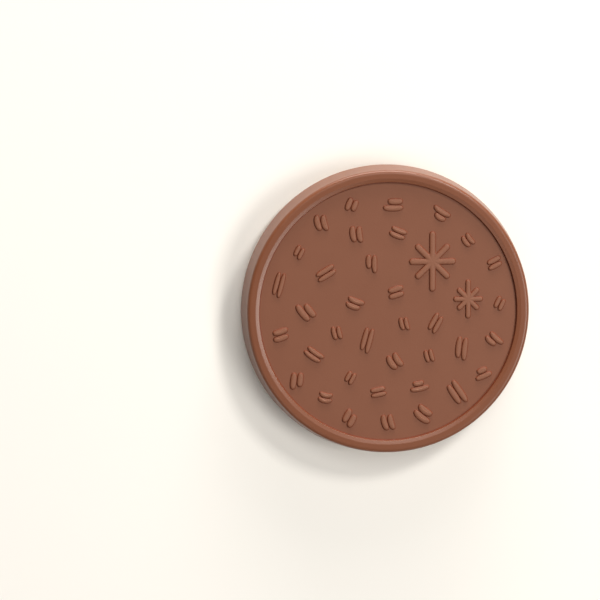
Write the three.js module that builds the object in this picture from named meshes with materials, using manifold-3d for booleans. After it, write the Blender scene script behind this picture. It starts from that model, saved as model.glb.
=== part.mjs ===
// A round biscuit set in moulded milk chocolate, with a printed sheet of icing on its other face.
// It lies on the icing with the moulded chocolate up, so z = 0 is the underside of the icing.
// Millimetres, +Z up, the origin in the middle of the face that it rests on.

import * as THREE from "three";
import { mergeVertices } from "three/addons/utils/BufferGeometryUtils.js";
import Module from "manifold-3d";

const wasm = await Module();
wasm.setup();

// ---- Driving dimensions ----

const OUTER_RADIUS = 32.8; // the chocolate at its widest, just above its lip
const TOTAL_HEIGHT = 9.6; // from the icing's underside to the top of the rim

const ICING_RADIUS = 28;
const ICING_THICKNESS = 0.6;
const ICING_EDGE = 0.15; // the cut edge is eased by this much

const BISCUIT_RADIUS = 31.3; // over the crests of its ribs
const BISCUIT_THICKNESS = 5.7;
// Its face rolls over to its side: [how far in from the crests, height above the face].
const BISCUIT_ROLL = [
  [2.2, 0.05],
  [0.8, 0.5],
  [0, 1.6],
];
const RIBS = 66;
const RIB_DEPTH = 0.55; // the grooves between the ribs, at the side
const RIB_FADE_RADIUS = 25.5; // the grooves die out here, under the icing
const STEPS_PER_RIB = 4;

const FIT = 0.3; // all-round room between the biscuit and its chocolate cup
const LIP_HEIGHT = 1.6; // the chocolate stops this far short of the biscuit's face
const LIP_ROUND = 0.3;

const RIM_OUTER_RADIUS = 31.2; // the flat of the rim
const RIM_INNER_RADIUS = 30.15;
const SHOULDER_ROUND = 0.8; // its outer edge: the side below leans out from here to the lip
const SLOPE_DROP = 0.2; // inside the flat the rim slopes down by this much, to the step
const STEP_RADIUS = 29.3; // the top of the step that leads down to the field
const FIELD_RADIUS = 29.15; // the sunk field, at the foot of the step
const FIELD_DEPTH = 0.9; // below the top of the rim
const ROUND_STEPS = 4;
const TURNS = 112; // straight sides that stand for the round ones

const RELIEF_HEIGHT = 0.4; // the marks and stars, above the field
const RELIEF_ROOT = 0.3; // how far each one runs down into the chocolate
const RELIEF_SIDES = 12;
const STROKE_SQUARENESS = 2.7; // 2 is an ellipse, more is blunter
const ARM_SQUARENESS = 4;
const STROKE_SHARE = 0.97; // a stroke's width, as a share of the pitch of its pair

// The outline of a mark shrinks as it rises: [share of the height, inset].
const DOME = [
  [0, 0],
  [0.7, 0.14],
  [1, 0.36],
];

// Each mark is two short strokes side by side. Ring by ring, from the rim inwards:
// [distance from the middle, bearing, turn, first length, second length, pitch, slip, bow].
// The second stroke lies to the right of the first, seen along the turn. The slip is how far
// it is ahead, and the bow is how far both bulge towards the right.
const MARKS = [
  [25.4, 3.5, 64, 2.8, 2.8, 1.15, -0.2, 0],
  [26.4, 24, 27, 3.3, 3.3, 1.25, -0.3, 0],
  [24.1, 41.5, -53, 3.0, 2.9, 1.2, -0.1, 0.2],
  [24.9, 61.5, -33, 4.4, 2.8, 1.35, 0.3, 0.2],
  [24.2, 87, 0, 3.4, 4.5, 1.45, -0.5, 0.1],
  [25.6, 109, 68, 3.0, 2.6, 1.35, 0.1, 0],
  [25.3, 127, 105, 3.6, 3.6, 1.45, -0.4, -0.25],
  [24.4, 146, 63, 2.6, 2.8, 1.1, -0.3, 0],
  [25.6, 165.5, 75, 5.2, 5.6, 1.15, -0.2, 0],
  [24.9, 191.5, 17, 3.5, 3.5, 1.45, -0.3, 0.1],
  [25.8, 216.5, 84, 3.8, 3.2, 1.5, 0.4, 0],
  [24.0, 233.5, -12, 3.0, 3.2, 1.2, 0, 0.3],
  [25.7, 250, 61, 3.3, 3.1, 1.55, -0.6, 0],
  [25.2, 270, 106, 3.6, 3.5, 1.45, -0.3, -0.2],
  [24.7, 289, -38, 3.7, 4.4, 1.65, 0.3, 0.2],
  [24.4, 310, -56, 5.9, 5.0, 1.5, -0.1, 0],
  [25.9, 326.5, 23, 2.4, 3.9, 1.35, -0.1, 0],
  [24.9, 344.5, -42, 3.9, 3.0, 1.35, -0.6, 0.15],

  [17.9, 83, -22, 3.7, 3.7, 1.25, -0.1, 0.1],
  [19.0, 112.5, 98, 3.6, 3.6, 1.45, -0.3, -0.2],
  [16.7, 148, 31, 4.6, 4.6, 1.25, -0.2, 0],
  [18.6, 179.5, -51, 3.6, 4.5, 1.6, -0.6, 0.1],
  [19.4, 209.5, -35, 4.4, 4.4, 1.2, -0.2, 0.15],
  [17.2, 240, 61, 2.5, 2.8, 1.1, -0.1, 0],
  [18.4, 263, 11, 3.4, 3.5, 1.15, 0, 0],
  [18.4, 292.5, 11, 2.5, 4.3, 1.25, 0.1, 0.1],
  [18.8, 333, 84, 4.8, 5.1, 1.4, -0.3, -0.1],

  [11.7, 109, 91, 3.1, 4.0, 1.3, -0.6, -0.1],
  [12.6, 202, 105, 3.0, 2.9, 1.15, -0.2, -0.1],
  [11.4, 277.5, -56, 3.5, 3.6, 1.55, -0.2, 0.25],
  [13.8, 312.5, 106, 2.8, 2.9, 1.1, -0.1, -0.1],
  [11.1, 345.5, 61, 4.2, 4.2, 1.25, -0.3, 0],

  [4.7, 68.5, 16, 3.5, 3.5, 1.35, -0.2, 0],
  [7.9, 166, -21, 3.9, 3.4, 1.35, -0.3, 0.2],
  [8.0, 233, 75, 5.2, 5.7, 1.25, -0.2, 0],
  [4.6, 322, 105, 2.9, 2.9, 1.1, -0.3, -0.15],
];

// Two stars of eight arms. The two upright arms are the long ones.
const STARS = [
  { x: 10, y: 11.25, longArm: 6.8, shortArm: 5.3, width: 1.4 },
  { x: 18.15, y: 2.65, longArm: 4.4, shortArm: 3.35, width: 1.15 },
];
const STAR_BARS = 4;

// ---- Worked-out levels ----

const BISCUIT_TOP = ICING_THICKNESS + BISCUIT_THICKNESS;
const CUP_RADIUS = BISCUIT_RADIUS + FIT;
const CUP_TOP = BISCUIT_TOP + FIT;
const LIP_LEVEL = ICING_THICKNESS + LIP_HEIGHT;
const FIELD_LEVEL = TOTAL_HEIGHT - FIELD_DEPTH;

// ---- Helpers ----

const radians = THREE.MathUtils.degToRad;

// Points on a round corner, in the plane of a profile, from one angle to another.
function corner(x, y, radius, from, to) {
  return Array.from({ length: ROUND_STEPS + 1 }, (_, i) => {
    const angle = radians(from + ((to - from) * i) / ROUND_STEPS);
    return new THREE.Vector2(x + radius * Math.cos(angle), y + radius * Math.sin(angle));
  });
}

// A profile of [radius, height] points, turned round the Z axis.
function turned(profile, steps) {
  const points = profile.map((p) => (p.isVector2 ? p : new THREE.Vector2(...p)));
  return new THREE.LatheGeometry(points, steps).rotateX(Math.PI / 2);
}

// Only positions, with shared vertices, as a join needs them.
function welded(geometry) {
  const bare = geometry.clone();
  bare.deleteAttribute("normal");
  bare.deleteAttribute("uv");
  return mergeVertices(bare, 1e-4);
}

function solidOf(geometry) {
  const closed = welded(geometry);
  return new wasm.Manifold(
    new wasm.Mesh({
      numProp: 3,
      vertProperties: closed.attributes.position.array,
      triVerts: new Uint32Array(closed.index.array),
    }),
  );
}

function geometryOf(solid) {
  const mesh = solid.getMesh();
  return new THREE.BufferGeometry()
    .setAttribute("position", new THREE.BufferAttribute(mesh.vertProperties, 3))
    .setIndex(new THREE.BufferAttribute(mesh.triVerts, 1));
}

function piece(name, geometry, color, roughness) {
  geometry.computeVertexNormals();
  const material = new THREE.MeshStandardMaterial({ color, roughness, metalness: 0 });
  material.flatShading = true;
  const mesh = new THREE.Mesh(geometry, material);
  mesh.name = name;
  return mesh;
}

// ---- Relief ----

// A blunt oval, bowed sideways: x runs along the stroke, y across it.
function strokeOutline(length, width, bow, squareness) {
  const power = 2 / squareness;
  return Array.from({ length: RELIEF_SIDES }, (_, i) => {
    const angle = (2 * Math.PI * (i + 0.5)) / RELIEF_SIDES;
    const along = Math.sign(Math.cos(angle)) * Math.abs(Math.cos(angle)) ** power;
    const across = Math.sign(Math.sin(angle)) * Math.abs(Math.sin(angle)) ** power;
    const bulge = bow * (2 * along * along - 1);
    return new THREE.Vector2((along * length) / 2, (across * width) / 2 + bulge / 2);
  });
}

// A low dome on the field, with its root in the chocolate: rings of one outline, each set in
// from the one below, closed at both ends.
function dome(length, width, bow, squareness) {
  const rings = [[-RELIEF_ROOT / RELIEF_HEIGHT, 0], ...DOME].map(([share, inset]) =>
    strokeOutline(length - 2 * inset, width - 2 * inset, bow, squareness).map(
      (p) => new THREE.Vector3(p.x, p.y, FIELD_LEVEL + share * RELIEF_HEIGHT),
    ),
  );
  const index = [];
  for (let ring = 0; ring + 1 < rings.length; ring++) {
    for (let i = 0; i < RELIEF_SIDES; i++) {
      const a = ring * RELIEF_SIDES + i;
      const b = ring * RELIEF_SIDES + ((i + 1) % RELIEF_SIDES);
      index.push(a, b, b + RELIEF_SIDES, a, b + RELIEF_SIDES, a + RELIEF_SIDES);
    }
  }
  const top = (rings.length - 1) * RELIEF_SIDES;
  for (let i = 1; i + 1 < RELIEF_SIDES; i++) {
    index.push(0, i + 1, i, top, top + i, top + i + 1);
  }
  return new THREE.BufferGeometry().setFromPoints(rings.flat()).setIndex(index);
}

// The two strokes of one mark, at their places on the field.
function mark([distance, bearing, turn, first, second, pitch, slip, bow]) {
  const width = pitch * STROKE_SHARE;
  return [-1, 1].map((side) =>
    dome(side < 0 ? first : second, width, bow, STROKE_SQUARENESS)
      .translate((side * slip) / 2, (-side * pitch) / 2, 0)
      .rotateZ(radians(turn))
      .translate(
        distance * Math.cos(radians(bearing)),
        distance * Math.sin(radians(bearing)),
        0,
      ),
  );
}

// Bars laid across each other at even turns make the arms of a star.
function star({ x, y, longArm, shortArm, width }) {
  return Array.from({ length: STAR_BARS }, (_, i) =>
    dome(2 * (i === STAR_BARS / 2 ? longArm : shortArm), width, 0, ARM_SQUARENESS)
      .rotateZ((i * Math.PI) / STAR_BARS)
      .translate(x, y, 0),
  );
}

// ---- The three pieces ----

// A cup that the biscuit sits in, with a drafted side, a rounded rim and a sunk field on top.
function chocolate() {
  const lipMiddle = LIP_LEVEL + LIP_ROUND;
  const body = turned(
    [
      [0, CUP_TOP],
      [CUP_RADIUS, CUP_TOP],
      [CUP_RADIUS, lipMiddle],
      [CUP_RADIUS + LIP_ROUND, LIP_LEVEL],
      [OUTER_RADIUS - LIP_ROUND, LIP_LEVEL],
      [OUTER_RADIUS, lipMiddle],
      ...corner(RIM_OUTER_RADIUS, TOTAL_HEIGHT - SHOULDER_ROUND, SHOULDER_ROUND, 0, 90),
      [RIM_INNER_RADIUS, TOTAL_HEIGHT],
      [STEP_RADIUS, TOTAL_HEIGHT - SLOPE_DROP],
      [FIELD_RADIUS, FIELD_LEVEL],
      [0, FIELD_LEVEL],
    ],
    TURNS,
  );
  const relief = [...MARKS.flatMap(mark), ...STARS.flatMap(star)];
  return geometryOf(relief.reduce((whole, bump) => whole.add(solidOf(bump)), solidOf(body)));
}

// A disc with rounded edges, whose ribs are pressed in between narrow grooves.
function biscuit() {
  const face = ICING_THICKNESS;
  const disc = turned(
    [
      [0, face],
      [RIB_FADE_RADIUS, face],
      ...BISCUIT_ROLL.map(([inset, rise]) => [BISCUIT_RADIUS - inset, face + rise]),
      [BISCUIT_RADIUS, BISCUIT_TOP],
      [0, BISCUIT_TOP],
    ],
    RIBS * STEPS_PER_RIB,
  );
  const point = disc.attributes.position;
  for (let i = 0; i < point.count; i++) {
    const radius = Math.hypot(point.getX(i), point.getY(i));
    if (radius <= RIB_FADE_RADIUS) continue;
    const phase = RIBS * Math.atan2(point.getY(i), point.getX(i));
    const groove = RIB_DEPTH * ((1 - Math.cos(phase)) / 2) ** 2;
    const outward = (radius - RIB_FADE_RADIUS) / (BISCUIT_RADIUS - RIB_FADE_RADIUS);
    const shrink = 1 - (groove * outward) / radius;
    const lift = point.getZ(i) < BISCUIT_TOP ? (groove * (1 - outward ** 2)) / 2 : 0;
    point.setXYZ(i, point.getX(i) * shrink, point.getY(i) * shrink, point.getZ(i) + lift);
  }
  return disc;
}

// A thin sheet cut to a circle, its lower edge a little eased.
function icing() {
  return turned(
    [
      [0, 0],
      [ICING_RADIUS - ICING_EDGE, 0],
      [ICING_RADIUS, ICING_EDGE],
      [ICING_RADIUS, ICING_THICKNESS],
      [0, ICING_THICKNESS],
    ],
    TURNS,
  );
}

const cookie = new THREE.Group();
cookie.add(
  piece("chocolate", chocolate(), "#804d34", 0.42),
  piece("biscuit", biscuit(), "#e0b98a", 0.85),
  piece("icing", icing(), "#6b9291", 0.6),
);

export default cookie;
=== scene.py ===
# %% [markdown]
# # A biscuit with a moulded chocolate back
#
# This lesson dresses one sweet thing for its portrait. It is a round, fluted biscuit that was
# pressed into a tray of melted milk chocolate. The tray left a rim, a sunk field and a
# scatter of small raised marks on the chocolate. The biscuit's other face wears a thin sheet
# of printed icing. The cookie lies on the icing, so the chocolate is what the camera sees.
#
# The solid model is loaded first. Nothing that is made here may grow out of that box.

import bpy
import numpy as np
from mathutils import Matrix, Vector


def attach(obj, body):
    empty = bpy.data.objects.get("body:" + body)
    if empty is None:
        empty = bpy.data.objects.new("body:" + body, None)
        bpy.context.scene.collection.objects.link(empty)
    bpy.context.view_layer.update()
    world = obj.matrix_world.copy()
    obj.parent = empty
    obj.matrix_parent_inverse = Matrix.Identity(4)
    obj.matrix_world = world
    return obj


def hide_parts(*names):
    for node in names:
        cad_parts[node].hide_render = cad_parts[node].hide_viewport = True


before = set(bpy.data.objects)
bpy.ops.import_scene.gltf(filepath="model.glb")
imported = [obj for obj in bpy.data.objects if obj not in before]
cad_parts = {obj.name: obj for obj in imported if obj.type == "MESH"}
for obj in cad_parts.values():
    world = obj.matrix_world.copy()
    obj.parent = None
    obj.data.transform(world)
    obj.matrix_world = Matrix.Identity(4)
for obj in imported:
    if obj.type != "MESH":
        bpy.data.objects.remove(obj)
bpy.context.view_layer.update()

MM = 0.001

# %% [markdown]
# ## How the shapes are made
#
# All three pieces are round, so a lathe is the natural tool: a profile is drawn once, as a
# line of radius and height, and carried round the upright axis. It could be done with a Screw
# modifier, but then the ribs of the biscuit and the wavy lip of the chocolate would need more
# modifiers on top. As a plain array of points, each of them is one more term in a formula.
#
# The profile's corners must not be razor sharp, because no moulded or baked edge is. Each
# corner is swapped for a short curve. A long straight stretch gets a point close to each of
# its ends, so that smooth shading bends at the corner and not across the whole flat.

# %% A profile with rounded corners
HOLD = 0.05  # mm from a corner's curve to the point that keeps the flat beside it flat
CURVE_STEPS = 8


def rounded_profile(corners, spacing):
    """Turns rows of (radius, height, cut) into a smooth line of (radius, height).

    Each corner C is swapped for the curve (1-t)^2 A + 2t(1-t) C + t^2 B, where A and B lie
    `cut` before and after it. Straight stretches are divided into steps of about `spacing`,
    with one more point HOLD from each end.
    """
    corners = np.array(corners, float)
    place, cut = corners[:, :2], corners[:, 2:]
    ahead = np.diff(place, axis=0)
    ahead /= np.linalg.norm(ahead, axis=1, keepdims=True)
    start, end = place[1:-1] - ahead[:-1] * cut[1:-1], place[1:-1] + ahead[1:] * cut[1:-1]
    t = np.linspace(0, 1, CURVE_STEPS + 1)[:-1, None]  # a curve's end starts the next stretch
    a, c, b = start[:, None], place[1:-1, None], end[:, None]
    bends = (1 - t) ** 2 * a + 2 * t * (1 - t) * c + t**2 * b
    pieces = []
    for near, far, bend in zip([place[0], *end], [*start, place[-1]], [*bends, place[-1:]]):
        length = np.linalg.norm(far - near)
        share = np.linspace(0, 1, int(np.ceil(length / spacing)) + 1)
        if length > 3 * HOLD:
            share = np.unique(np.concatenate([share, [HOLD / length, 1 - HOLD / length]]))
        pieces += [near + (far - near) * share[:-1, None], bend]
    return np.concatenate(pieces)


# %% [markdown]
# The biscuit was baked in a fluted tin. Its edge is a row of 66 plump ribs with narrow
# grooves between them. The chocolate was poured against those ribs, so its lip repeats them.
# Both pieces therefore place their points by the ribs, closer together at a groove, and share
# one formula for how deep the groove is at each bearing. No two ribs are quite alike.

# %% The ribs, as seen from above
RIBS = 66
GROOVE_DEPTH = 0.55
BULGE_SPREAD, SHIFT_SPREAD = 0.07, 0.05  # how far the ribs differ in plumpness and in place
rng = np.random.default_rng(seed=7)
rib_bulge = rng.normal(0, BULGE_SPREAD, RIBS)
rib_shift = rng.normal(0, SHIFT_SPREAD, RIBS)


def rib_bearings(places):
    """Bearings in radians: `places`, from -1 at one groove to 1 at the next, on every rib."""
    middle = 2 * np.arange(RIBS)[:, None]
    return ((middle + places) * np.pi / RIBS).ravel()


def groove_share(bearing):
    """0 on a rib's crest and 1 in a groove: (1 + bulge (1 - s)) q^4 (3 + q^4) / 4.

    Here s is the place across the rib, from 0 on its crest to 1 in the groove, and
    q = s + shift (1 - s) s is that place shifted.
    """
    place = bearing * RIBS / np.pi
    rib = np.round(place / 2).astype(int)
    s = np.abs(place - 2 * rib)
    q = np.clip(s + rib_shift[rib % RIBS] * (1 - s) * s, 0, 1)
    return q**4 * (3 + q**4) / 4 * (1 + rib_bulge[rib % RIBS] * (1 - s))


def turned(profile, bearing):
    """Carries a profile round the Z axis: x = r cos a, y = r sin a, z = height."""
    radius, height = profile[:, :1], profile[:, 1:]
    return np.stack(
        [radius * np.cos(bearing), radius * np.sin(bearing), height + 0 * bearing], axis=-1
    )


FINE = rib_bearings([-0.93, -0.85, -0.72, -0.52, -0.27, 0, 0.27, 0.52, 0.72, 0.85, 0.93, 1])
COARSE = rib_bearings([-0.85, -0.6, -0.25, 0.25, 0.6, 0.85, 1])
print("bearings round the biscuit:", len(FINE), "and round the chocolate:", len(COARSE))

# %% [markdown]
# A lathe leaves a stack of rings. To be a solid it needs skin between the rings and a point
# at each end that closes it. The raised marks are stacks of rings as well, small ones, so one
# helper serves both and makes a whole batch of shells in one go.

# %% Rings into closed shells
def shells(rings, bottom, top):
    """Skins stacks of rings, for many shells at once.

    `rings` is indexed by shell, level, place and xyz. Four points that are neighbours round
    and up make one face, and a fan of triangles joins each end ring to its end point.
    """
    count, levels, around, _ = rings.shape
    points = np.concatenate(
        [bottom[:, None], rings.reshape(count, -1, 3), top[:, None]], axis=1
    )
    level, place = np.meshgrid(np.arange(levels - 1), np.arange(around), indexing="ij")
    beside = (place + 1) % around
    low, high = 1 + level * around, 1 + (level + 1) * around
    skin = np.stack([low + place, low + beside, high + beside, high + place], axis=-1)
    place, beside = place[0], beside[0]
    last_ring = 1 + (levels - 1) * around
    floor = np.stack([0 * place, 1 + beside, 1 + place], axis=-1)
    roof = np.stack([0 * place + levels * around + 1, last_ring + place, last_ring + beside], -1)
    first = np.arange(count)[:, None, None] * points.shape[1]
    quads = skin.reshape(-1, 4) + first
    fans = np.concatenate([floor, roof]) + first
    return points.reshape(-1, 3), quads.reshape(-1, 4), fans.reshape(-1, 3)


def joined(*parts):
    """Puts several (points, quads, fans) together, with the later ones renumbered."""
    first = np.cumsum([0] + [len(points) for points, _, _ in parts[:-1]])
    return (
        np.concatenate([points for points, _, _ in parts]),
        np.concatenate([quads + n for n, (_, quads, _) in zip(first, parts)]),
        np.concatenate([fans + n for n, (_, _, fans) in zip(first, parts)]),
    )


def closed(rings):
    """One closed shell from rings whose first and last are each a point on the axis."""
    return shells(rings[None, 1:-1], rings[:1, 0], rings[-1:, 0])


# %% [markdown]
# Numbers become a piece when Blender gets them as a mesh. The shapes are worked out in
# millimetres and written in metres. A piece's place is in its points, so its object stays at
# the origin, unturned. Some numbers will travel with the points, such as the chocolate's paler
# tops and painted shade, and a second helper stores them on the mesh as an attribute.

# %% A shape into a piece
def piece(name, shape):
    """A smooth-shaded object in metres, at the origin, from (points, quads, fans) in mm."""
    points, quads, fans = shape
    mesh = bpy.data.meshes.new(name)
    mesh.from_pydata(points * MM, [], quads.tolist() + fans.tolist())
    mesh.shade_smooth()
    thing = bpy.data.objects.new(name, mesh)
    bpy.context.scene.collection.objects.link(thing)
    print(name, "triangles:", 2 * len(quads) + len(fans))
    return thing


def write_attribute(thing, name, values):
    """Stores one number for each point of a piece."""
    attribute = thing.data.attributes.new(name, "FLOAT", "POINT")
    attribute.data.foreach_set("value", values.astype(np.float32))
    print(name, "of", len(values), "points:", values.min().round(2), "to", values.max().round(2))


# %% [markdown]
# ## The chocolate cup
#
# The real one is poured: melted chocolate goes into a tray, the biscuit is pressed in, and
# the chocolate climbs round it. When it has set and is knocked out, the tray's floor has
# become the face that is seen. So the cup has a drafted side that leans in towards the face,
# a shoulder as round as the tray's corner and a flat rim. Inside the rim a short slope and a
# steep step lead down to a field that lies 0.9 mm lower.
#
# The lip is the one surface that no mould touched. It set as a liquid does, so it climbs a
# little along the biscuit and into every groove, and it isn't quite level.

# %% The cup's profile
BISCUIT_RADIUS = 31.3
LIP_OVERLAP = 0.06  # the chocolate's wall runs this far into the biscuit, so no gap shows
WALL_RADIUS = BISCUIT_RADIUS - LIP_OVERLAP
LIP_RADIUS, FOOT_RADIUS, SHOULDER_RADIUS = 31.6, 32.8, 31.95
LIP_LEVEL, LIP_CLIMB, LIP_HOLLOW = 2.2, 0.3, 0.06  # it climbs at the biscuit and dips beside it
CUP_TOP = 6.4  # the level of the chocolate that the biscuit's hidden back lies against
FIELD_LEVEL, STEP_LEVEL, RIM_LEVEL = 8.7, 9.4, 9.6
FIELD_EDGE, STEP_EDGE, RIM_EDGE = 29.15, 29.3, 30.15

cup_profile = rounded_profile(  # radius, level and cut, from the hidden back to the field
    [
        (0, CUP_TOP, 0),
        (WALL_RADIUS, CUP_TOP, 0.1),
        (WALL_RADIUS, LIP_LEVEL - LIP_CLIMB, 0.1),
        (LIP_RADIUS, LIP_LEVEL + LIP_HOLLOW, 0.2),
        (FOOT_RADIUS, LIP_LEVEL, 0.32),
        (SHOULDER_RADIUS, RIM_LEVEL, 0.85),
        (RIM_EDGE, RIM_LEVEL, 0.06),
        (STEP_EDGE, STEP_LEVEL, 0.06),
        (FIELD_EDGE, FIELD_LEVEL, 0.05),
        (0, FIELD_LEVEL, 0),
    ],
    spacing=5,
)
cup_rings = turned(cup_profile, COARSE)
print("cup profile:", len(cup_profile), "points, widest", cup_profile[:, 0].max().round(2), "mm")

# %% [markdown]
# Two terms bend the plain cup. The inner wall is drawn in at each groove, so that it stays
# just inside the ribbed biscuit. Then the lip is waved: a few slow swells, weighted so that
# they fade out a little way up the side.

# %% The wall and the lip follow the biscuit
BACK_MARGIN = 0.5  # mm below CUP_TOP, where the wall stays round
# Each swell has its number of waves round the lip, its size in mm and its start in radians.
SWELLS = ((3, 0.035, 0.4), (7, 0.03, 2.1), (16, 0.02, 4.0), (31, 0.012, 1.2))
SWELL_REACH = 1.6  # mm above the lip

radius, height = cup_profile[:, :1], cup_profile[:, 1:]
touching = np.clip((LIP_RADIUS - radius) / (LIP_RADIUS - WALL_RADIUS), 0, 1)
touching = touching * (height < CUP_TOP - BACK_MARGIN)
draw_in = 1 - touching * GROOVE_DEPTH * groove_share(COARSE) / np.maximum(radius, 1)
swells = sum(size * np.sin(waves * COARSE + start) for waves, size, start in SWELLS)
near_lip = np.clip((LIP_LEVEL + SWELL_REACH - height) / SWELL_REACH, 0, 1) ** 2
cup_rings = cup_rings * np.stack([draw_in, draw_in, 0 * draw_in + 1], axis=-1)
cup_rings[..., 2] += near_lip * swells
cup = closed(cup_rings)
print("lip wanders by", np.ptp(swells).round(3), "mm")

# %% [markdown]
# ## The raised marks
#
# The tray's floor was cut two short strokes at a time, as if with a brush, so each mark stands
# up from the field as two blunt ridges with a narrow groove between them. Curve objects with
# a bevel could make them, but their edges would all be alike. Here each ridge is a stack of
# rings. The rings share one blunt oval, bowed a little sideways, and each is drawn in from
# the one below by an amount that the next cell works out.

# %% How a ridge rises
RELIEF_HEIGHT = 0.4
SIDE_HEIGHT, SIDE_WIDTH, FLARE = 0.3, 0.1, 0.08
SINK = 0.012  # mm that a ridge's foot lies under the field
SIDE_RINGS = 7
CROWN_RINGS = np.array([0.5, 0.66, 0.8, 0.92])  # their insets, as shares of the half width
HALF_WIDTH = 0.65  # of a usual ridge


def ridge_levels(half_width):
    """Gives the inset and the height of each ring of a ridge, as two arrays.

    The side climbs from the flared foot: side(u) = (1 - cos(pi u)) / 2 over the width of the
    side. On top of it lies a low crown, 1 - (1 - d)^2, where d is the inset as a share of the
    half width. `half_width` may be an array, and the levels are then its last axis.
    """
    half_width = np.asarray(half_width, float)[..., None]
    u = np.linspace(0, 1, SIDE_RINGS)
    side_inset = (FLARE + SIDE_WIDTH) * u - FLARE
    inset = np.concatenate([side_inset + 0 * half_width, half_width * CROWN_RINGS], axis=-1)
    climb = np.concatenate([(1 - np.cos(np.pi * u)) / 2, np.ones(len(CROWN_RINGS))])
    share = np.clip(inset / half_width, 0, 1)
    crown = 1 - (1 - share) ** 2
    return inset, SIDE_HEIGHT * climb + (RELIEF_HEIGHT - SIDE_HEIGHT) * crown - SINK


print("a ridge's insets and heights:", np.stack(ridge_levels(HALF_WIDTH)).round(2).tolist())

# %% [markdown]
# The marks aren't a pattern. They were scattered by eye, in four loose rings, and no two are
# alike. A random scatter would miss their rhythm, so each one has a row of its own in a table.

# %% The table of marks
# Ring by ring from the rim inwards: distance from the middle, bearing, turn, first length,
# second length, pitch, slip and bow. Lengths are in mm and angles in degrees. The slip is how
# far the second stroke is ahead of the first, and the bow how far both bulge sideways.
MARKS = np.array(
    [
        (25.4, 3.5, 64, 2.8, 2.8, 1.15, -0.2, 0),
        (26.4, 24, 27, 3.3, 3.3, 1.25, -0.3, 0),
        (24.1, 41.5, -53, 3.0, 2.9, 1.2, -0.1, 0.2),
        (24.9, 61.5, -33, 4.4, 2.8, 1.35, 0.3, 0.2),
        (24.2, 87, 0, 3.4, 4.5, 1.45, -0.5, 0.1),
        (25.6, 109, 68, 3.0, 2.6, 1.35, 0.1, 0),
        (25.3, 127, 105, 3.6, 3.6, 1.45, -0.4, -0.25),
        (24.4, 146, 63, 2.6, 2.8, 1.1, -0.3, 0),
        (25.6, 165.5, 75, 5.2, 5.6, 1.15, -0.2, 0),
        (24.9, 191.5, 17, 3.5, 3.5, 1.45, -0.3, 0.1),
        (25.8, 216.5, 84, 3.8, 3.2, 1.5, 0.4, 0),
        (24.0, 233.5, -12, 3.0, 3.2, 1.2, 0, 0.3),
        (25.7, 250, 61, 3.3, 3.1, 1.55, -0.6, 0),
        (25.2, 270, 106, 3.6, 3.5, 1.45, -0.3, -0.2),
        (24.7, 289, -38, 3.7, 4.4, 1.65, 0.3, 0.2),
        (24.4, 310, -56, 5.9, 5.0, 1.5, -0.1, 0),
        (25.9, 326.5, 23, 2.4, 3.9, 1.35, -0.1, 0),
        (24.9, 344.5, -42, 3.9, 3.0, 1.35, -0.6, 0.15),
        (17.9, 83, -22, 3.7, 3.7, 1.25, -0.1, 0.1),
        (19.0, 112.5, 98, 3.6, 3.6, 1.45, -0.3, -0.2),
        (16.7, 148, 31, 4.6, 4.6, 1.25, -0.2, 0),
        (18.6, 179.5, -51, 3.6, 4.5, 1.6, -0.6, 0.1),
        (19.4, 209.5, -35, 4.4, 4.4, 1.2, -0.2, 0.15),
        (17.2, 240, 61, 2.5, 2.8, 1.1, -0.1, 0),
        (18.4, 263, 11, 3.4, 3.5, 1.15, 0, 0),
        (18.4, 292.5, 11, 2.5, 4.3, 1.25, 0.1, 0.1),
        (18.8, 333, 84, 4.8, 5.1, 1.4, -0.3, -0.1),
        (11.7, 109, 91, 3.1, 4.0, 1.3, -0.6, -0.1),
        (12.6, 202, 105, 3.0, 2.9, 1.15, -0.2, -0.1),
        (11.4, 277.5, -56, 3.5, 3.6, 1.55, -0.2, 0.25),
        (13.8, 312.5, 106, 2.8, 2.9, 1.1, -0.1, -0.1),
        (11.1, 345.5, 61, 4.2, 4.2, 1.25, -0.3, 0),
        (4.7, 68.5, 16, 3.5, 3.5, 1.35, -0.2, 0),
        (7.9, 166, -21, 3.9, 3.4, 1.35, -0.3, 0.2),
        (8.0, 233, 75, 5.2, 5.7, 1.25, -0.2, 0),
        (4.6, 322, 105, 2.9, 2.9, 1.1, -0.3, -0.15),
    ]
)
print("marks:", len(MARKS), "with pitches from", MARKS[:, 5].min(), "to", MARKS[:, 5].max(), "mm")

# %% [markdown]
# The strokes of all rows are made together, as one batch of shells. Every array below has the
# stroke as its first axis, then the ring, and then the place round the ring. The first halves
# of the arrays are the first strokes and the second halves the second ones.

# %% The strokes
STROKE_SIDES = 32
STROKE_SHARE = 0.97  # a stroke's width as a share of the pitch, so a thin groove is left
BLUNTNESS = 0.74  # 1 would be a plain oval, and less is squarer
ROOT_DEPTH = 0.3  # mm below the field, where a ridge's shell is closed


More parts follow.
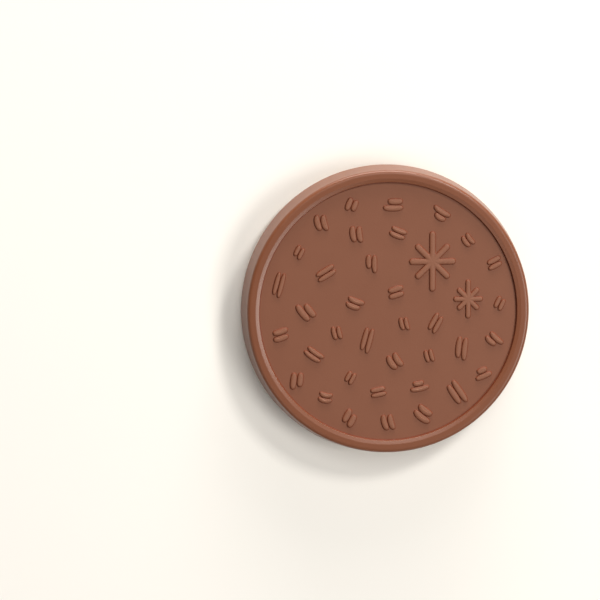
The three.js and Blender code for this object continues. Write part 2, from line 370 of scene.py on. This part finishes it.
def stroke_shells(marks):
    """Both strokes of every mark, as closed shells.

    Round a stroke, x = k (length/2 - inset) with k = c |c|^(p-1), c = cos t and p the
    BLUNTNESS, and y is the same with the sine and the width. The bow adds bow (2 k^2 - 1)/2
    to y. Then the stroke is turned and carried to its place on the field.
    """
    distance, bearing, turn, first, second, pitch, slip, bow = marks.T
    side = np.repeat([-1, 1], len(marks))
    length = np.concatenate([first, second])
    distance, bearing, turn, pitch, slip, bow = np.tile(
        [distance, np.radians(bearing), np.radians(turn), pitch, slip, bow], 2
    )
    t = 2 * np.pi * (np.arange(STROKE_SIDES) + 0.5) / STROKE_SIDES
    along = np.sign(np.cos(t)) * np.abs(np.cos(t)) ** BLUNTNESS
    across = np.sign(np.sin(t)) * np.abs(np.sin(t)) ** BLUNTNESS

    width = STROKE_SHARE * pitch
    inset, height = ridge_levels(width / 2)
    x = along * (length[:, None] / 2 - inset)[..., None] + (side * slip / 2)[:, None, None]
    y = across * (width[:, None] / 2 - inset)[..., None] - (side * pitch / 2)[:, None, None]
    y = y + bow[:, None, None] * (2 * along**2 - 1) / 2
    cosine, sine = np.cos(turn)[:, None, None], np.sin(turn)[:, None, None]
    middle = np.stack([distance * np.cos(bearing), distance * np.sin(bearing)], axis=-1)
    rings = np.stack(
        [
            middle[:, 0, None, None] + x * cosine - y * sine,
            middle[:, 1, None, None] + x * sine + y * cosine,
            FIELD_LEVEL + height[..., None] + 0 * x,
        ],
        axis=-1,
    )
    core = rings[:, -1].mean(axis=1) * (1, 1, 0)
    root, peak = FIELD_LEVEL - ROOT_DEPTH, FIELD_LEVEL + RELIEF_HEIGHT - SINK
    return shells(rings, core + (0, 0, root), core + (0, 0, peak))


strokes = stroke_shells(MARKS)
print("strokes:", 2 * len(MARKS), "with", len(strokes[0]), "points")

# %% [markdown]
# Two stars share the field with the strokes. A star has eight arms of one width. It is one
# raised form and not eight crossed bars, so nothing shows where bars would pass through each
# other. Its outline runs out along an arm, round the arm's end and back to the notch before
# the next arm. Drawn in by an inset, all the lines move together and the notches stay sharp.

# %% The stars
ARMS = 8
UPRIGHT_ARMS = [2, 6]
ARM_STEPS, END_STEPS = 8, 9
STAR_SIDES = ARMS * (2 * (ARM_STEPS - 1) - 1 + END_STEPS)


def star_shell(x, y, long_arm, short_arm, width):
    """A raised star at (x, y), whose arm number n points along n/8 of a turn.

    With b = width/2 - inset, an arm's side runs from the notch at (b / tan(22.5 deg), b) to
    (reach, b), and its end is a half circle of radius b round (reach, 0). The reach is the
    arm's length less half its width, and longer for the two upright arms.
    """
    inset, height = ridge_levels(width / 2)
    half = (width / 2 - inset)[:, None, None]
    reach = np.full((ARMS, 1), short_arm - width / 2)
    reach[UPRIGHT_ARMS] = long_arm - width / 2
    out = np.linspace(0, 1, ARM_STEPS)[:-1]
    notch = half / np.tan(np.pi / ARMS)
    bend = np.linspace(-np.pi / 2, np.pi / 2, END_STEPS)
    side = notch + (reach - notch) * out
    side_back = side[:, :, :0:-1]
    u = np.concatenate([side, reach + half * np.cos(bend), side_back], axis=-1)
    v = np.concatenate(
        [0 * side - half, half * np.sin(bend) + 0 * reach, 0 * side_back + half], axis=-1
    )
    angle = 2 * np.pi * np.arange(ARMS)[:, None] / ARMS
    rings = np.stack(
        [
            x + u * np.cos(angle) - v * np.sin(angle),
            y + u * np.sin(angle) + v * np.cos(angle),
            FIELD_LEVEL + height[:, None, None] + 0 * u,
        ],
        axis=-1,
    ).reshape(1, len(height), STAR_SIDES, 3)
    root, peak = FIELD_LEVEL - ROOT_DEPTH, FIELD_LEVEL + RELIEF_HEIGHT - SINK
    return shells(rings, np.array([[x, y, root]]), np.array([[x, y, peak]]))


big_star = star_shell(x=10.0, y=11.25, long_arm=6.8, short_arm=5.3, width=1.4)
small_star = star_shell(x=18.15, y=2.65, long_arm=4.4, short_arm=3.35, width=1.15)
chocolate_back = piece("chocolate_back", joined(cup, strokes, big_star, small_star))

# %% [markdown]
# Two numbers travel with every point of the chocolate. One is a painted tone: the tops of the
# marks are painted paler, and the corners at the feet of the marks and of the step get painted
# shade, deep and dark. The other is its satin, the roughness that the tray left there. The
# field came out of a finely blasted floor, and the rim and the side came off smooth walls. As
# attributes both are exact, where a mask in space would need a picture of the marks.

# %% Pale tops, painted shade and satin on the chocolate
# The value -1 marks painted shade in the corners at the feet of the marks and of the step, and 1
# marks the tops of the marks, which are painted paler.
PALE_TOP, PAINTED_SHADE = 1.0, -1.0
PALE_TOP_FROM = 0.6  # the inset, as a share of the half width, from which a ridge's top is painted paler
CORNER_REACH = 0.14  # mm to each side of the step's middle that belong to its corner's painted shade
PAINTED_SHADE_UP_TO = 9.05  # the level on the step up to which its corner is painted in shade
FIELD_SATIN, STEP_SATIN, RIM_SATIN, SIDE_SATIN = 0.55, 0.26, 0.32, 0.3
SATIN_BLUR = 0.1  # mm over which the field's satin turns to the step's
SIDE_FROM, SIDE_TO = 31.4, 32.0  # the radii between which the rim's satin turns to the side's


def ridge_pale_top_and_shade(half_width):
    """Painted tone of each ring of a ridge: painted shade at its foot, paler from its shoulder
    inwards.
    """
    inset, _ = ridge_levels(half_width)
    places = [-FLARE, 0, SIDE_WIDTH, half_width * PALE_TOP_FROM]
    return np.interp(inset, places, [PAINTED_SHADE / 2, PAINTED_SHADE, PAINTED_SHADE / 3, PALE_TOP])


def shell_values(levels, around, shells_in_batch=1):
    """One value for each point of a batch of shells, in the order that shells() gives."""
    rings = np.repeat(levels, around)
    return np.tile(np.concatenate([levels[:1], rings, levels[-1:]]), shells_in_batch)


# The corner at the step's foot gets painted shade, up to a set level on the step.
r, z = cup_profile.T
in_corner = np.abs(r - (FIELD_EDGE + STEP_EDGE) / 2) < CORNER_REACH
step_painted_shade = np.interp(z, [FIELD_LEVEL, PAINTED_SHADE_UP_TO, STEP_LEVEL], [PAINTED_SHADE, PAINTED_SHADE, 0])
cup_painted_shade = np.where(in_corner, step_painted_shade, 0)
cup_satin = np.interp(
    r,
    [STEP_EDGE - SATIN_BLUR, STEP_EDGE, RIM_EDGE, SIDE_FROM, SIDE_TO],
    [FIELD_SATIN, STEP_SATIN, RIM_SATIN, RIM_SATIN, SIDE_SATIN],
)
stroke_pale_top_and_shade = ridge_pale_top_and_shade(HALF_WIDTH)
pale_top_and_shade_values = np.concatenate(
    [
        shell_values(cup_painted_shade[1:-1], len(COARSE)),
        shell_values(stroke_pale_top_and_shade, STROKE_SIDES, 2 * len(MARKS)),
        shell_values(stroke_pale_top_and_shade, STAR_SIDES, 2),
    ]
)
satin_values = np.full(len(pale_top_and_shade_values), FIELD_SATIN)
satin_values[: len(cup[0])] = shell_values(cup_satin[1:-1], len(COARSE))
# The first attribute carries the paler tops and the painted shade in the corners.
write_attribute(chocolate_back, "pale_tops_and_painted_shade", pale_top_and_shade_values)
write_attribute(chocolate_back, "satin", satin_values)

# %% [markdown]
# ## Nodes in plain words
#
# A finish is a small machine of nodes. Two helpers keep the machine readable: `add` puts in a
# node with its settings and its inputs, and `feed` plugs a result into the shader. Every
# finish gets its own pair, so that nothing lands in another finish's machine.

# %% A new finish
def new_finish(name):
    """A new material, its Principled shader, and functions that add nodes and feed it."""
    material = bpy.data.materials.new(name)
    material.use_nodes = True
    tree = material.node_tree
    shader = tree.nodes["Principled BSDF"]

    def add(kind, inputs=None, **settings):
        node = tree.nodes.new(kind)
        for key, value in settings.items():
            setattr(node, key, value)
        for key, value in (inputs or {}).items():
            if isinstance(value, bpy.types.NodeSocket):
                tree.links.new(value, node.inputs[key])
            else:
                node.inputs[key].default_value = value
        return node

    def feed(socket, value):
        tree.links.new(value, shader.inputs[socket])

    return material, shader, add, feed


# %% [markdown]
# A few recipes come back in one finish after another. They blend two colours, turn a value
# into a smooth step, make soft patches and raise a bump. The last helper takes a colour as a
# screen shows it, because shaders reckon in linear values, where the same brown has other
# numbers.

# %% Recipes of nodes
def blend(add, factor, first, second):
    """Mixes two colours by a factor. A Mix node takes colours at 6 and 7 and gives at 2."""
    return add("ShaderNodeMix", {0: factor, 6: first, 7: second}, data_type="RGBA").outputs[2]


def ramp(add, value, zero, one, most=1.0):
    """A smooth step: 0 where the value is `zero`, and `most` where it is `one`."""
    inputs = {"Value": value, "From Min": zero, "From Max": one, "To Max": most}
    if zero > one:
        inputs.update({"From Min": one, "From Max": zero, "To Min": most, "To Max": 0.0})
    return add("ShaderNodeMapRange", inputs, interpolation_type="SMOOTHSTEP").outputs["Result"]


def patches(add, place, scale, detail):
    """Soft random patches from 0 to 1, `scale` of them to the metre, with finer ones inside."""
    inputs = {"Vector": place, "Scale": scale, "Detail": detail}
    return add("ShaderNodeTexNoise", inputs).outputs["Fac"]


def bumped(add, height, millimetres, below=None):
    """A bump whose full height is so many millimetres, on top of the bump below it."""
    inputs = {"Height": height, "Distance": millimetres * MM, "Strength": 1.0}
    if below is not None:
        inputs["Normal"] = below
    return add("ShaderNodeBump", inputs).outputs["Normal"]


def srgb(red, green, blue):
    """A colour given as 0 to 255 on a screen, as the linear values that shaders use."""
    c = np.array([red, green, blue]) / 255
    linear = np.where(c <= 0.04045, c / 12.92, ((c + 0.055) / 1.055) ** 2.4)
    return (*linear.tolist(), 1.0)


# %% [markdown]
# ## The milk chocolate
#
# Milk chocolate is a warm, rather dull brown. It is never quite even: cocoa butter sets in
# soft clouds, and the surface has a fine grain that blurs its gloss. A plain colour would look
# like plastic. So two browns are mixed by slow clouds, the tops of the marks are painted paler,
# the corners at their feet and at the step get painted shade, and two sizes of bump give the
# grain and the slight waves of a poured face.

# %% The chocolate's finish
MILK_BROWN, CLOUDED_BROWN = srgb(116, 68, 45), srgb(121, 73, 50)
# A paler brown for the marks' tops, and a deep red-brown that is painted shade in the corners at
# their feet and at the step.
PALE_TOP_BROWN, PAINTED_SHADE_BROWN = srgb(134, 87, 64), srgb(112, 45, 20)
PALE_TOP_SHARE, PAINTED_SHADE_SHARE = 0.55, 0.9  # how much of the paler top and of the painted shade shows where each is full

chocolate, shader, add, feed = new_finish("milk_chocolate")
place = add("ShaderNodeTexCoord").outputs["Object"]
clouds = patches(add, place, scale=130.0, detail=4.0)
even = blend(add, clouds, MILK_BROWN, CLOUDED_BROWN)
# This attribute holds the paler tops and the painted shade of the corners.
pale_tops_and_painted_shade = add("ShaderNodeAttribute", attribute_name="pale_tops_and_painted_shade").outputs["Fac"]
pale_top, painted_shade = (
    add("ShaderNodeMath", {0: pale_tops_and_painted_shade, 1: share}, operation="MULTIPLY", use_clamp=True).outputs[0]
    for share in (PALE_TOP_SHARE, -PAINTED_SHADE_SHARE)
)
paler = blend(add, pale_top, even, PALE_TOP_BROWN)
# Painted shade: the corners at the feet of the marks and of the step are mixed towards the deep
# red-brown.
feed("Base Color", blend(add, painted_shade, paler, PAINTED_SHADE_BROWN))
feed("Roughness", add("ShaderNodeAttribute", attribute_name="satin").outputs["Fac"])
shader.inputs["Specular IOR Level"].default_value = 0.35

grain = patches(add, place, scale=2600.0, detail=2.0)
waves = patches(add, place, scale=260.0, detail=1.0)
grained = bumped(add, grain, millimetres=0.012)
feed("Normal", bumped(add, waves, millimetres=0.02, below=grained))
chocolate_back.data.materials.append(chocolate)
print("milk chocolate:", len(chocolate.node_tree.nodes), "nodes")

# %% [markdown]
# ## The fluted biscuit
#
# Dough is pressed into a round tin with a fluted wall, so each rib is a plump little pillow
# and each groove is as narrow as the tin's fin. The face is flat in the middle, where the
# icing lies. The ribs start a little way in under the icing and swell as they run out, and
# then roll over the edge and up the side. The flat middles of both faces are hidden, so most
# of their rings are left out.

# %% The biscuit's profile
FACE_LEVEL, BISCUIT_TOP = 0.6, 6.3
FACE_EDGE, ROLL_EDGE = 25.2, 29.9
ROLL_RISE, SIDE_RISE = 0.1, 1.5  # mm from the face's level to where the roll and the side begin
FLAT_FROM, FLAT_TO, KEEP_EVERY = 0.5, 24.5, 9  # between these radii, one ring in nine stays

biscuit_profile = rounded_profile(  # radius, level and cut, from the iced face to the back
    [
        (0, FACE_LEVEL, 0),
        (FACE_EDGE, FACE_LEVEL, 0.3),
        (ROLL_EDGE, FACE_LEVEL + ROLL_RISE, 1.0),
        (BISCUIT_RADIUS, FACE_LEVEL + SIDE_RISE, 0.9),
        (BISCUIT_RADIUS, BISCUIT_TOP, 0.2),
        (0, BISCUIT_TOP, 0),
    ],
    spacing=0.7,
)
flat = (biscuit_profile[:, 0] > FLAT_FROM) & (biscuit_profile[:, 0] < FLAT_TO)
biscuit_profile = biscuit_profile[~flat | (np.arange(len(flat)) % KEEP_EVERY == 0)]
print("biscuit profile:", len(biscuit_profile), "points")

# %% [markdown]
# A rib's crest stays on the lathe's profile, and the grooves are cut into it, so the ribs can
# never grow past the tin's size. The cut is made along the surface's own normal. A cut that
# only went inwards would leave no grooves on the face, where the ribs begin.

# %% The grooves
RIB_START = 25.5
BACK_EDGE = 0.2  # mm below the biscuit's hidden back, where the grooves end


def grooved(profile, bearing):
    """Turns the profile and cuts a groove between every two ribs. Gives points and depth.

    The depth is GROOVE_DEPTH * groove_share(bearing) * q (2 - q), where q runs from 0 at
    RIB_START to 1 at the edge. The cut goes straight into the biscuit's surface, so it points
    up on the face, inwards on the side and both on the roll.
    """
    slope = np.gradient(profile, axis=0)
    slope /= np.linalg.norm(slope, axis=1, keepdims=True)
    inward = np.stack([-slope[:, 1], slope[:, 0]], axis=-1)
    q = np.clip((profile[:, 0] - RIB_START) / (BISCUIT_RADIUS - RIB_START), 0, 1)
    swell = q * (2 - q) * (profile[:, 1] < BISCUIT_TOP - BACK_EDGE)
    depth = GROOVE_DEPTH * swell[:, None] * groove_share(bearing)
    radius = profile[:, :1] + inward[:, :1] * depth
    height = profile[:, 1:] + inward[:, 1:] * depth
    return np.stack([radius * np.cos(bearing), radius * np.sin(bearing), height], axis=-1), depth


biscuit_rings, depth = grooved(biscuit_profile, FINE)
biscuit_ribbed = piece("biscuit_ribbed", closed(biscuit_rings))

# %% [markdown]
# The grooves are painted browner than the ribs beside them, as painted shade, so the finish
# has to know where the grooves are. Their depth, from 0 on the crests to 1 in the deepest
# groove, is stored on the mesh. It follows the surface wherever that goes, which a pattern in
# space couldn't do.

# %% The grooves' depth as an attribute
groove_values = (depth[1:-1] / GROOVE_DEPTH).ravel()
write_attribute(biscuit_ribbed, "groove", np.concatenate([[0.0], groove_values, [0.0]]))

# %% [markdown]
# The dough stays cream under the icing and bakes golden towards the edge, which the hot tin
# touched. In the grooves it is painted brown, as painted shade. Small dark pores and a rough
# crumb keep it from looking like wood.

# %% The biscuit's finish
CREAM_DOUGH, BAKED_DOUGH = srgb(246, 226, 192), srgb(228, 188, 145)
TOASTED_DOUGH = srgb(214, 165, 116)
# The groove brown is painted shade for the grooves.
GROOVE_SHADE_BROWN, PORE_BROWN = srgb(178, 118, 68), srgb(150, 98, 56)
CREAM_TO, BAKED_FROM = 28.2, 31.2  # the radii up to which it is cream and from which baked

biscuit, shader, add, feed = new_finish("baked_biscuit")
place = add("ShaderNodeTexCoord").outputs["Object"]
groove = add("ShaderNodeAttribute", attribute_name="groove").outputs["Fac"]
on_plan = add("ShaderNodeVectorMath", {0: place, 1: (1, 1, 0)}, operation="MULTIPLY").outputs[0]
from_axis = add("ShaderNodeVectorMath", {0: on_plan}, operation="LENGTH").outputs["Value"]
edge = ramp(add, from_axis, CREAM_TO * MM, BAKED_FROM * MM)
toasting = patches(add, place, scale=420.0, detail=3.0)
crumb = patches(add, place, scale=1900.0, detail=4.0)
pores = add("ShaderNodeTexVoronoi", {"Vector": place, "Scale": 1300.0}).outputs["Distance"]

dough = blend(add, edge, CREAM_DOUGH, BAKED_DOUGH)
dough = blend(add, ramp(add, toasting, zero=0.42, one=0.75, most=0.5), dough, TOASTED_DOUGH)
# Painted shade: the grooves are mixed towards brown by their depth.
dough = blend(add, ramp(add, groove, zero=0.15, one=0.95, most=0.85), dough, GROOVE_SHADE_BROWN)
dough = blend(add, ramp(add, pores, zero=0.22, one=0.05, most=0.35), dough, PORE_BROWN)
feed("Base Color", dough)
shader.inputs["Roughness"].default_value = 0.78
rough_crumb = bumped(add, crumb, millimetres=0.09)
open_pores = ramp(add, pores, zero=0.05, one=0.3)
feed("Normal", bumped(add, open_pores, millimetres=0.04, below=rough_crumb))
biscuit_ribbed.data.materials.append(biscuit)
print("baked biscuit:", len(biscuit.node_tree.nodes), "nodes")

# %% [markdown]
# ## The icing sheet
#
# Printed icing is a thin sheet of sugar paste, cut to a circle and laid on the biscuit while
# it is damp. It sags a little between the ribs, and the cutter rounds its edge. Food colour
# goes on before the cutting and stops just short of the edge, so a thin white line is left.

# %% The icing's shape
ICING_RADIUS = 28.0
ICING_TOP = FACE_LEVEL + 0.03  # a little inside the biscuit, so that no gap shows
SAG, SAG_FROM = 0.09, 26.5  # mm, and the radius where it begins
UNDERSIDE = 0.3  # mm above the table, up to where the sheet's points sag

icing_profile = rounded_profile(  # radius, level and cut, from the resting face to the top
    [
        (0, 0, 0),
        (ICING_RADIUS, 0, 0.15),
        (ICING_RADIUS, ICING_TOP, 0.05),
        (0, ICING_TOP, 0),
    ],
    spacing=4,
)
icing_rings = turned(icing_profile, COARSE)
radius, height = icing_profile[:, :1], icing_profile[:, 1:]
sagging = np.clip((radius - SAG_FROM) / (ICING_RADIUS - SAG_FROM), 0, 1) ** 2
sagging = sagging * (height < UNDERSIDE)
icing_rings[..., 2] += SAG * sagging * groove_share(COARSE)
icing_sheet = piece("icing_sheet", closed(icing_rings))

# %% [markdown]
# The print is drawn by formulas on the object's own coordinates. Each motif is a distance:
# how far a point is from the middle line of a stroke. Where that is less than half the
# stroke's width, the ink is on.

# %% The mask of a stroke
INK_EDGE = 0.05  # mm to each side of a stroke's border over which the ink fades


def calculator(add):
    """A short way to write Math nodes: calc("ADD", a, b) gives the result's socket."""

    def calc(operation, *values):
        return add("ShaderNodeMath", dict(enumerate(values)), operation=operation).outputs[0]

    return calc


def length_of(calc, x, y):
    """The root of x^2 + y^2."""
    return calc("SQRT", calc("ADD", calc("MULTIPLY", x, x), calc("MULTIPLY", y, y)))


def stroke_ink(add, calc, along, across, half_length, half_width):
    """1 within half_width of the line |along| <= half_length, across = 0, and else 0."""
    beyond = calc("MAXIMUM", calc("SUBTRACT", calc("ABSOLUTE", along), half_length), 0.0)
    distance = length_of(calc, beyond, across)
    return ramp(add, distance, half_width + INK_EDGE, half_width - INK_EDGE)


# %% [markdown]
# A star folds all its arms onto one, because the angle to the nearest arm bounces back and
# forth as one goes round. The dashes repeat on a slanted grid, so each point only has to know
# how far it is from the nearest one.

# %% The masks of stars and dashes
def star_ink(add, calc, x, y, centre, arm, half_width, turn):
    """A star of eight equal arms. Its fold is the angle to the nearest arm."""
    dx, dy = calc("SUBTRACT", x, centre[0]), calc("SUBTRACT", y, centre[1])
    reach = length_of(calc, dx, dy)
    fold = calc("PINGPONG", calc("ADD", calc("ARCTAN2", dy, dx), turn), np.pi / ARMS)
    along = calc("MULTIPLY", reach, calc("COSINE", fold))
    across = calc("MULTIPLY", reach, calc("SINE", fold))
    return stroke_ink(add, calc, along, across, arm, half_width)


def dash_ink(add, calc, x, y, slant, row, step, half_length, half_width):
    """Rows of dashes. Each row is shifted by half a step from the one before."""
    c, s = float(np.cos(slant)), float(np.sin(slant))
    along = calc("ADD", calc("MULTIPLY", x, c), calc("MULTIPLY", y, s))
    across = calc("SUBTRACT", calc("MULTIPLY", y, c), calc("MULTIPLY", x, s))
    number = calc("ROUND", calc("DIVIDE", across, row))
    across = calc("SUBTRACT", across, calc("MULTIPLY", number, row))
    along = calc("ADD", along, calc("MULTIPLY", number, step / 2))
    nearest = calc("ROUND", calc("DIVIDE", along, step))
    along = calc("SUBTRACT", along, calc("MULTIPLY", nearest, step))
    return stroke_ink(add, calc, along, across, half_length, half_width)


# %% [markdown]
# The motifs are laid over each other from the back: two close teals, which keep the field from
# looking like plastic, then faint dashes, then white stars. All of it ends at the print's
# radius, where the bare sugar begins. The paste is dry, so its gloss is low, and a fine bump
# makes it a little uneven.

# %% The icing's finish
SUGAR_WHITE, PALE_INK = srgb(238, 234, 224), srgb(190, 210, 208)
TEAL_INK, LIGHTER_TEAL = srgb(101, 140, 140), srgb(113, 150, 148)
PRINT_RADIUS = 27.7
PRINT_FULL, PRINT_ENDS = 0.08, 0.14  # mm above the table, so only the face below is printed
DASHES = {"slant": 1.05, "row": 6.4, "step": 9.0, "half_length": 2.1, "half_width": 0.28}
DASH_STRENGTH = 0.5
PRINTED_STARS = [  # middle, arm's length and half width in mm, and turn in radians
    ((-9.5, 10.5), 4.3, 0.42, 0.2),
    ((12.0, 3.5), 3.4, 0.36, 0.5),
    ((1.0, -13.5), 3.8, 0.4, 0.05),
    ((-16.5, -7.5), 2.6, 0.32, 0.6),
    ((8.0, 18.5), 2.5, 0.3, 0.3),
]

icing, shader, add, feed = new_finish("printed_icing")
calc = calculator(add)
place = add("ShaderNodeTexCoord").outputs["Object"]
in_mm = add("ShaderNodeVectorMath", {0: place, 1: (1 / MM, 1 / MM, 1 / MM)}, operation="MULTIPLY")
axes = add("ShaderNodeSeparateXYZ", {0: in_mm.outputs[0]})
x, y, z = (axes.outputs[name] for name in "XYZ")
from_axis = length_of(calc, x, y)
uneven = patches(add, place, scale=500.0, detail=5.0)

ink = blend(add, uneven, TEAL_INK, LIGHTER_TEAL)
dashes = calc("MULTIPLY", dash_ink(add, calc, x, y, **DASHES), DASH_STRENGTH)
ink = blend(add, dashes, ink, PALE_INK)
for star in PRINTED_STARS:
    ink = blend(add, star_ink(add, calc, x, y, *star), ink, SUGAR_WHITE)
printed = ramp(add, from_axis, PRINT_RADIUS + INK_EDGE, PRINT_RADIUS - INK_EDGE)
printed = calc("MULTIPLY", printed, ramp(add, z, PRINT_ENDS, PRINT_FULL))
feed("Base Color", blend(add, printed, SUGAR_WHITE, ink))
shader.inputs["Roughness"].default_value = 0.55
feed("Normal", bumped(add, uneven, millimetres=0.03))
icing_sheet.data.materials.append(icing)
print("printed icing:", len(icing.node_tree.nodes), "nodes")

# %% [markdown]
# ## The finished pieces take their places
#
# Each dressed piece stands for one node of the solid model. That node is hidden, and the piece
# is attached to what it moves with. The cookie has no joint, so all three ride with the root.

# %% Replace the plain solids
for dressed, node, slot in (
    (chocolate_back, "chocolate", "milk_chocolate"),
    (biscuit_ribbed, "biscuit", "baked_biscuit"),
    (icing_sheet, "icing", "printed_icing"),
):
    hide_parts(node)
    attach(dressed, "root")
    print(dressed.name, "replaces", node)

# %% [markdown]
# ## The floor
#
# The floor is a sheet of warm white paper, far larger than the view. It gives off a little
# light of its own, as paper on a light table does, which lifts it to a studio's clean white
# without bleaching the chocolate.

# %% The floor
FLOOR_SIZE = 4.0
FLOOR_LEVEL = -0.02 * MM  # a hair below the icing, so that the two faces never share a plane
PAPER = {
    "Base Color": (0.84, 0.825, 0.785, 1),
    "Roughness": 0.9,
    "Emission Color": (1, 0.985, 0.94, 1),
    "Emission Strength": 0.05,
}

half = FLOOR_SIZE / 2
floor_corners = [
    (x * half, y * half, FLOOR_LEVEL) for x, y in ((-1, -1), (1, -1), (1, 1), (-1, 1))
]
floor_mesh = bpy.data.meshes.new("floor")
floor_mesh.from_pydata(floor_corners, [], [(0, 1, 2, 3)])
floor = bpy.data.objects.new("floor", floor_mesh)
bpy.context.scene.collection.objects.link(floor)

paper, shader, _, _ = new_finish("pale_paper")
for socket, value in PAPER.items():
    shader.inputs[socket].default_value = value
floor.data.materials.append(paper)
print("floor:", FLOOR_SIZE, "m across")

# %% [markdown]
# ## The light
#
# Chocolate shows its form by what it mirrors as much as by shade. The key light is small and
# only half way up, so each mark throws a short, crisp shadow to its lower left. The slope
# inside the rim leans by about 13 degrees. To a camera overhead it mirrors whatever stands 55
# to 70 degrees above the table, on the other side. Three softboxes are there, and they draw
# the bright line on the rim's left and near side. A weak one opposite lifts the far side of
# the slope. Low boxes and cards light the outer side. The world stays nearly dark, so that
# the grooves and the step do too.

# %% Light
WORLD_COLOUR, WORLD_STRENGTH = (1, 0.985, 0.955, 1), 0.03
LIGHT_COLOUR = (1, 0.965, 0.92)
LIGHT_DISTANCE = 1.0
LIGHTS = (  # name, bearing and height in degrees, width and height in metres, power in watts
    ("key_softbox", 52, 46, 0.18, 0.18, 4.4),
    ("side_softbox", -8, 56, 0.32, 0.32, 3.3),
    ("near_softbox", -38, 54, 0.3, 0.3, 1.6),
    ("slope_softbox", 80, 69, 0.36, 0.36, 2.25),
    ("fill_softbox", 240, 62, 0.4, 0.4, 0.8),
    ("low_softbox", 74, 16, 0.5, 0.3, 3.4),
    ("left_softbox", 200, 22, 0.4, 0.3, 0.5),
    ("back_card", 90, 7, 0.7, 0.24, 11.0),
    ("front_card", 277, 14, 0.45, 0.28, 0.9),
)

world = bpy.data.worlds.new("studio")
world.use_nodes = True
world.node_tree.nodes["Background"].inputs["Color"].default_value = WORLD_COLOUR
world.node_tree.nodes["Background"].inputs["Strength"].default_value = WORLD_STRENGTH
bpy.context.scene.world = world


def softbox(name, azimuth, elevation, width, height, power):
    """A rectangular light that looks at the cookie from a bearing and a height in degrees."""
    a, e = np.radians([azimuth, elevation])
    towards = Vector((np.cos(a) * np.cos(e), np.sin(a) * np.cos(e), np.sin(e)))
    lamp = bpy.data.lights.new(name, "AREA")
    lamp.shape, lamp.size, lamp.size_y, lamp.energy = "RECTANGLE", width, height, power
    lamp.color = LIGHT_COLOUR
    light = bpy.data.objects.new(name, lamp)
    light.location = towards * LIGHT_DISTANCE
    light.rotation_euler = towards.to_track_quat("Z", "Y").to_euler()
    bpy.context.scene.collection.objects.link(light)


for row in LIGHTS:
    softbox(*row)
print("lights:", len(LIGHTS), "with", round(sum(row[-1] for row in LIGHTS), 2), "W in all")

# %% [markdown]
# ## The camera
#
# The picture was taken nearly straight on, about 9 degrees off the face's upright. A little of
# the outer side shows at the upper left, which tells which way the camera leaned. The cookie
# isn't in the middle of the picture, so the camera looks past it instead of being shifted.

# %% Camera
DISTANCE, TILT, AZIMUTH = 0.9, 9.0, 134.0  # metres, and degrees off the upright and round it
FRAME_WIDTH, SENSOR = 0.1352, 36.0  # metres across the picture at the cookie, and mm
IMAGE_SIZE = 600
FIELD_PLACE = (88.3, -11.6)  # its middle, in pixels right of and above the picture's middle

tilt, azimuth = np.radians([TILT, AZIMUTH])
back = Vector((np.sin(tilt) * np.cos(azimuth), np.sin(tilt) * np.sin(azimuth), np.cos(tilt)))
right = Vector((0, 1, 0)).cross(back).normalized()
up = back.cross(right)
field_middle = Vector((0, 0, FIELD_LEVEL)) * MM
offset = Vector(FIELD_PLACE) * FRAME_WIDTH / IMAGE_SIZE
aim = field_middle - right * offset.x - up * offset.y

camera_data = bpy.data.cameras.new("portrait")
camera_data.sensor_width = SENSOR
camera_data.lens = SENSOR * DISTANCE / FRAME_WIDTH
camera = bpy.data.objects.new("portrait", camera_data)
turn = Matrix((right, up, back)).transposed().to_4x4()
camera.matrix_world = Matrix.Translation(aim + back * DISTANCE) @ turn
bpy.context.scene.collection.objects.link(camera)
bpy.context.scene.camera = camera
bpy.context.scene.view_settings.view_transform = "Standard"
print("camera: a lens of", round(camera_data.lens), "mm, from", DISTANCE, "m")
